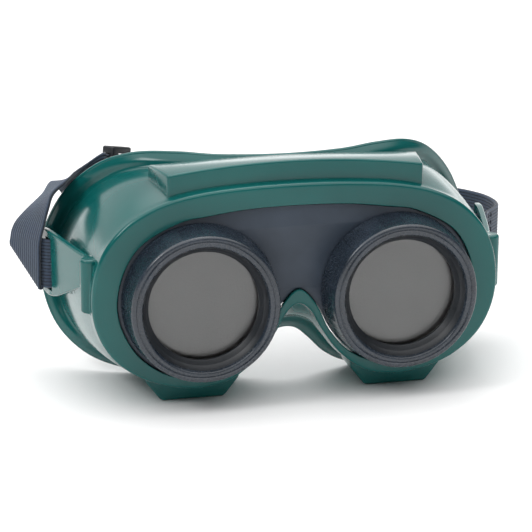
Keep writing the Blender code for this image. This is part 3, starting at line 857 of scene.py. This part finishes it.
def ringProfile():
    front, back = ring["frontRadius"], ring["backRadius"]
    mouth = ring["mouthRadius"]
    clear, lipY = ring["clearRadius"], ring["lipY"]
    lipFront = lipY - ring["lipThickness"]
    # inner face: lens lip, cone out to the mouth, with a fine step half way
    line = [(clear, lipY), (clear, lipFront + 0.25), (clear + 0.25, lipFront), (22.3, 3.62), (22.45, 3.4),
            (22.75, 3.15), (mouth - 0.2, 1.35), (mouth, 0.95), (mouth + 0.12, 0.5), (mouth + 0.4, 0.2),
            (mouth + 0.8, 0.06)]
    # flat front face with a narrow groove, then the rounded bevel
    line += [(25.7, 0.05), (25.85, 0.2), (26.1, 0.3), (26.35, 0.2), (26.5, 0.03), (26.9, 0.05)]
    for i in range(1, 7):
        turn = math.radians(15 * i)
        line.append((front - 1.3 + 1.3 * math.sin(turn), 1.35 - 1.3 * math.cos(turn)))
    for y in np.linspace(2.2, ring["backY"] - 0.5, 30):
        part = (y - 1.5) / (ring["backY"] - 1.5)
        line.append((front + (back - front) * part, float(y)))
    line += [(back - 0.1, ring["backY"] - 0.15), (back - 0.45, ring["backY"]),
             (ring["threadRadius"] + 0.4, ring["backY"])]
    line += [(ring["threadRadius"], float(y)) for y in np.linspace(ring["backY"] - 0.4, lipY + 0.3, 26)]
    line.append((ring["threadRadius"] - 0.3, lipY))
    return line


def ringShape(r, y, turn):
    if abs(r - ring["threadRadius"]) < 0.01:
        start, full = ring["threadFade"]
        depth = ring["threadDepth"] * smoothStep(y, ring["lipY"] + start, ring["lipY"] + full)
        return r + depth * (1 - threadWave(y, turn, plate["threadPitch"]))
    if r < ring["frontRadius"] or not ring["knurlFront"] < y < ring["knurlBack"]:
        return r
    patch = (turn / math.tau * ring["patches"]) % 1
    edge, share, fade = ring["patchFade"], ring["patchShare"], ring["knurlFade"]
    inPatch = smoothStep(patch, 0, edge) * (1 - smoothStep(patch, share - edge, share))
    zone = smoothStep(y, ring["knurlFront"], ring["knurlFront"] + fade)
    zone *= 1 - smoothStep(y, ring["knurlBack"] - fade, ring["knurlBack"])
    valley = 0.5 - 0.5 * math.cos(turn * ring["knurlCount"])
    return r - ring["knurlDepth"] * valley * inPatch * zone


def makeRing(side, word):
    piece = lathe(f"lensRing_{word}", ringProfile(), side * eyeX, ring["columns"], ringShape)
    name = f"retaining_ring_{word}"
    addPiece(piece, phenolic, name, (name,))
    # the throat in front of the lens is given the darker, duller acetal: painted shade for the recess
    # before the lens
    piece.data.materials.append(acetal)
    middle = toWorld((side * eyeX, 0, 0))
    for face in piece.data.polygons:
        reach = Vector((face.center.x - middle.x, 0, face.center.z - middle.z)).length * 1000
        if reach < ring["mouthRadius"] - 0.15:
            face.material_index = 1


makePlate()
for side, word in sides:
    makeRing(side, word)
print("lens plate and rings built")


# The strap: ribbed elastic webbing along the same route as its plain solid

strap = {
    "width": 20.0, "thickness": 1.6, "ribs": 15, "ribDepth": 0.24, "pointsPerRib": 6, "steps": 8,
    "slotZ": 4.7, "sliderCentre": Vector((-59, 86.5, 31.2)), "sliderAxis": Vector((0.72, 0.66, -0.21)),
    "sliderLean": Vector((0.05, 0.1, 1)),
    # the turn round an ear's rear bar, from inside the ear to its outer face: x, y
    "lugWrap": ((86.9, 71.5), (86.5, 68), (86.2, 64.5), (86.3, 61.7), (87.4, 60.3), (89.6, 60.2)),
}


def fullWidth(centre, across):
    half = Vector(across).normalized() * strap["width"] / 2
    return Vector(centre) + half, Vector(centre) - half


def strapStations():
    z = strap["slotZ"]
    level = [(x, y, z) for x, y in strap["lugWrap"]]
    level += [(91.6, 61.4, z), (93.4, 65, z), (97.4, 69.5, z), (101.3, 75, z), (102.7, 83, 4.8),
              (100.6, 93.5, 4.9), (92.5, 105, 5.1), (76, 114.5, 5.6), (54, 119.5, 7), (31, 120.4, 9.5)]
    run = [fullWidth(point, (0, 0, 1)) for point in level]
    run.append(fullWidth((9, 118, 13.5), (0.05, 0.05, 1)))
    run.append(fullWidth((-12, 113.5, 18.8), (0.08, 0.08, 1)))
    run.append(fullWidth((-30, 107.6, 24.3), (0.08, 0.1, 1)))
    axis = strap["sliderAxis"].normalized()
    lean = strap["sliderLean"]
    upright = lean - axis * lean.dot(axis)
    run += [fullWidth(strap["sliderCentre"] + axis * s, upright) for s in (24, 12, 0, -6.5, -10)]
    # over the temple and down the outside of the left ear
    run += [
        fullWidth((-76, 83.2, 29.8), (0.1, -0.6, 0.8)),
        fullWidth((-82.5, 76.4, 33.4), (0.14, -0.96, 0.23)),
        fullWidth((-87.8, 72, 29.8), (0.1, -0.96, 0.26)),
        fullWidth((-92.2, 69, 25), (0.31, -0.92, 0.24)),
        fullWidth((-95.4, 68.4, 19.5), (0.44, -0.89, 0.09)),
    ]
    # the diagonal fold: front or lower edge, then rear or upper edge
    fold = (
        ((-92.8, 59.6, 13), (-101.8, 77.4, 15)), ((-93.1, 59.7, 5), (-102.4, 77.6, 12.2)),
        ((-93.3, 59.8, -4.2), (-102.8, 77.4, 10.2)), ((-92.6, 60.3, -5.8), (-102.2, 77.9, 8.6)),
        ((-91.7, 60.9, -4.9), (-101.0, 77.3, 9.8)), ((-91.4, 61.0, -5.2), (-97, 70.5, 14)),
        ((-90.9, 60.6, -5.3), (-92.7, 63.4, 14.7)),
    )
    run += [(Vector(a), Vector(b)) for a, b in fold]
    inside = [(-x, y) for x, y in strap["lugWrap"][::-1]][:-1]
    tail = [*inside, (-87.2, 71.2), (-89.6, 73.6), (-92.2, 76.5), (-94.2, 81)]
    return run + [fullWidth((x, y, z), (0, 0, -1)) for x, y in tail]


def makeStrap():
    stations = strapStations()
    edges = [smoothLine([s[k] for s in stations], strap["steps"]) for k in (0, 1)]
    count = strap["ribs"] * strap["pointsPerRib"] + 1
    half = strap["thickness"] / 2
    rows, lengths, travelled = [], [], 0.0
    middle = [(a + b) / 2 for a, b in zip(*edges)]
    for i, (a, b) in enumerate(zip(*edges)):
        ahead = middle[min(i + 1, len(middle) - 1)] - middle[max(i - 1, 0)]
        normal = ahead.cross(b - a).normalized()
        if i:
            travelled += (middle[i] - middle[i - 1]).length
        lengths.append(travelled)
        front, rear = [], []
        for k in range(count):
            part = k / (count - 1)
            rib = abs(math.sin(math.pi * part * strap["ribs"]))
            edge = min(1.0, (0.5 - abs(part - 0.5)) * 30)
            thick = half * (0.35 + 0.65 * math.sqrt(max(edge, 0))) - strap["ribDepth"] * (1 - rib)
            spot = a.lerp(b, part)
            front.append(spot + normal * thick)
            rear.append(spot - normal * thick)
        rows.append(front + rear[::-1])
    points, faces = loft(rows, capped=True)
    mesh = meshFrom("strapWebbing", points, faces, 60)
    layer = mesh.uv_layers.new(name="cloth")
    around = 2 * count
    for loop in mesh.loops:
        row, k = divmod(loop.vertex_index, around)
        across = k if k < count else around - 1 - k
        layer.data[loop.index].uv = (across / (count - 1) * strap["width"] / 1000, lengths[row] / 1000)
    addPiece(newObject("strapWebbing", mesh), webbing, nodes=("strap_band",))
    return travelled


stitch = {"line": ((93.4, 65.0), (97.4, 69.5)), "rows": 2, "rowStep": 2.6, "count": 6, "step": 3.0,
          "length": 2.1, "radius": 0.28}


def makeStitches(side, word):
    # two rows of thread through the doubled end, seen on the strap's outer face
    (x0, y0), (x1, y1) = stitch["line"]
    along = Vector((side * (x1 - x0), y1 - y0, 0)).normalized()
    outward = Vector((along.y * side, -along.x * side, 0))
    points, faces = [], []
    for row in range(stitch["rows"]):
        start = Vector((side * x0, y0, strap["slotZ"])) + along * row * stitch["rowStep"]
        for k in range(stitch["count"]):
            z = (k - (stitch["count"] - 1) / 2) * stitch["step"]
            centre = start + outward * (strap["thickness"] / 2 + 0.05) + Vector((0, 0, z))
            rings = []
            for part in (-1, -0.8, -0.4, 0, 0.4, 0.8, 1):
                radius = stitch["radius"] * math.sqrt(max(1 - part ** 4, 0.05))
                sink = outward * -0.25 * part ** 4
                rings.append([centre + sink + Vector((0, 0, part * stitch["length"] / 2))
                              + (along * math.cos(t) + outward * math.sin(t)) * radius
                              for t in [j * math.tau / 8 for j in range(8)]])
            more, quads = loft(rings, capped=True)
            faces += [tuple(len(points) + i for i in quad) for quad in quads]
            points += more
    name = f"strapStitches_{word}"
    addPiece(newObject(name, meshFrom(name, points, faces, 60)), webbing)


strapLength = makeStrap()
makeStitches(1, "right")
print("strap built,", round(strapLength), "mm long")


# The slider: a moulded frame with one bar outside the strap and two inside it

slider = {"length": 12.0, "height": 26.4, "depth": 6.0, "end": 2.8, "bar": 2.6, "passage": 2.3,
          "corner": 0.9, "edge": 0.3}


def sliderTurn():
    along = strap["sliderAxis"].normalized()
    lean = strap["sliderLean"]
    across = (lean - along * lean.dot(along)).normalized()
    return Matrix((along, across, along.cross(across))).transposed()


def sliderTool(centres, size):
    # boxes set along, across and through the strap at the slider
    tool = boxTool("sliderTool", centres, size)
    turn = sliderTurn()
    for vertex in tool.data.vertices:
        vertex.co = toWorld(strap["sliderCentre"] + turn @ ((vertex.co - drawingOrigin) * 1000))
    return tool


def makeSlider():
    length, depth = slider["length"], slider["depth"]
    window = slider["height"] - 2 * slider["end"]
    piece = sliderTool([(0, 0, 0)], (length, slider["height"], depth))
    piece.name = "webSlider"
    roundEdges(piece, slider["corner"], 4, 50)
    settle(piece)
    side = (length - slider["bar"]) / 2
    cutWith(piece, sliderTool([(0, 0, 0)], (2 * length, window, slider["passage"])))
    cutWith(piece, sliderTool([(0, 0, depth / 2)], (length - 2 * slider["bar"], window, depth)))
    backs = [(k * (slider["bar"] + side) / 2, 0, -depth / 2) for k in (-1, 1)]
    cutWith(piece, sliderTool(backs, (side + 0.02, window, depth)))
    roundEdges(piece, slider["edge"], 2, 40)
    settle(piece, 40)
    addPiece(piece, acetal, "strap_slider", ("strap_slider",))


makeSlider()


# The pieces that keep their plain solids

plainNodes = {
    "top_vent_baffle": acetal, "lower_vent_baffle_left": acetal,
    "lower_vent_baffle_right": acetal, "cover_lens_left": glass, "cover_lens_right": glass,
    "backing_lens_left": glass, "backing_lens_right": glass, "filter_lens_left": shade,
    "filter_lens_right": shade, "seat_gasket_left": rubber, "seat_gasket_right": rubber,
    "ring_washer_left": fibre, "ring_washer_right": fibre,
}
for name, material in plainNodes.items():
    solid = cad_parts[name]
    solid.data.materials.clear()
    solid.data.materials.append(material)
print("plain solids finished")
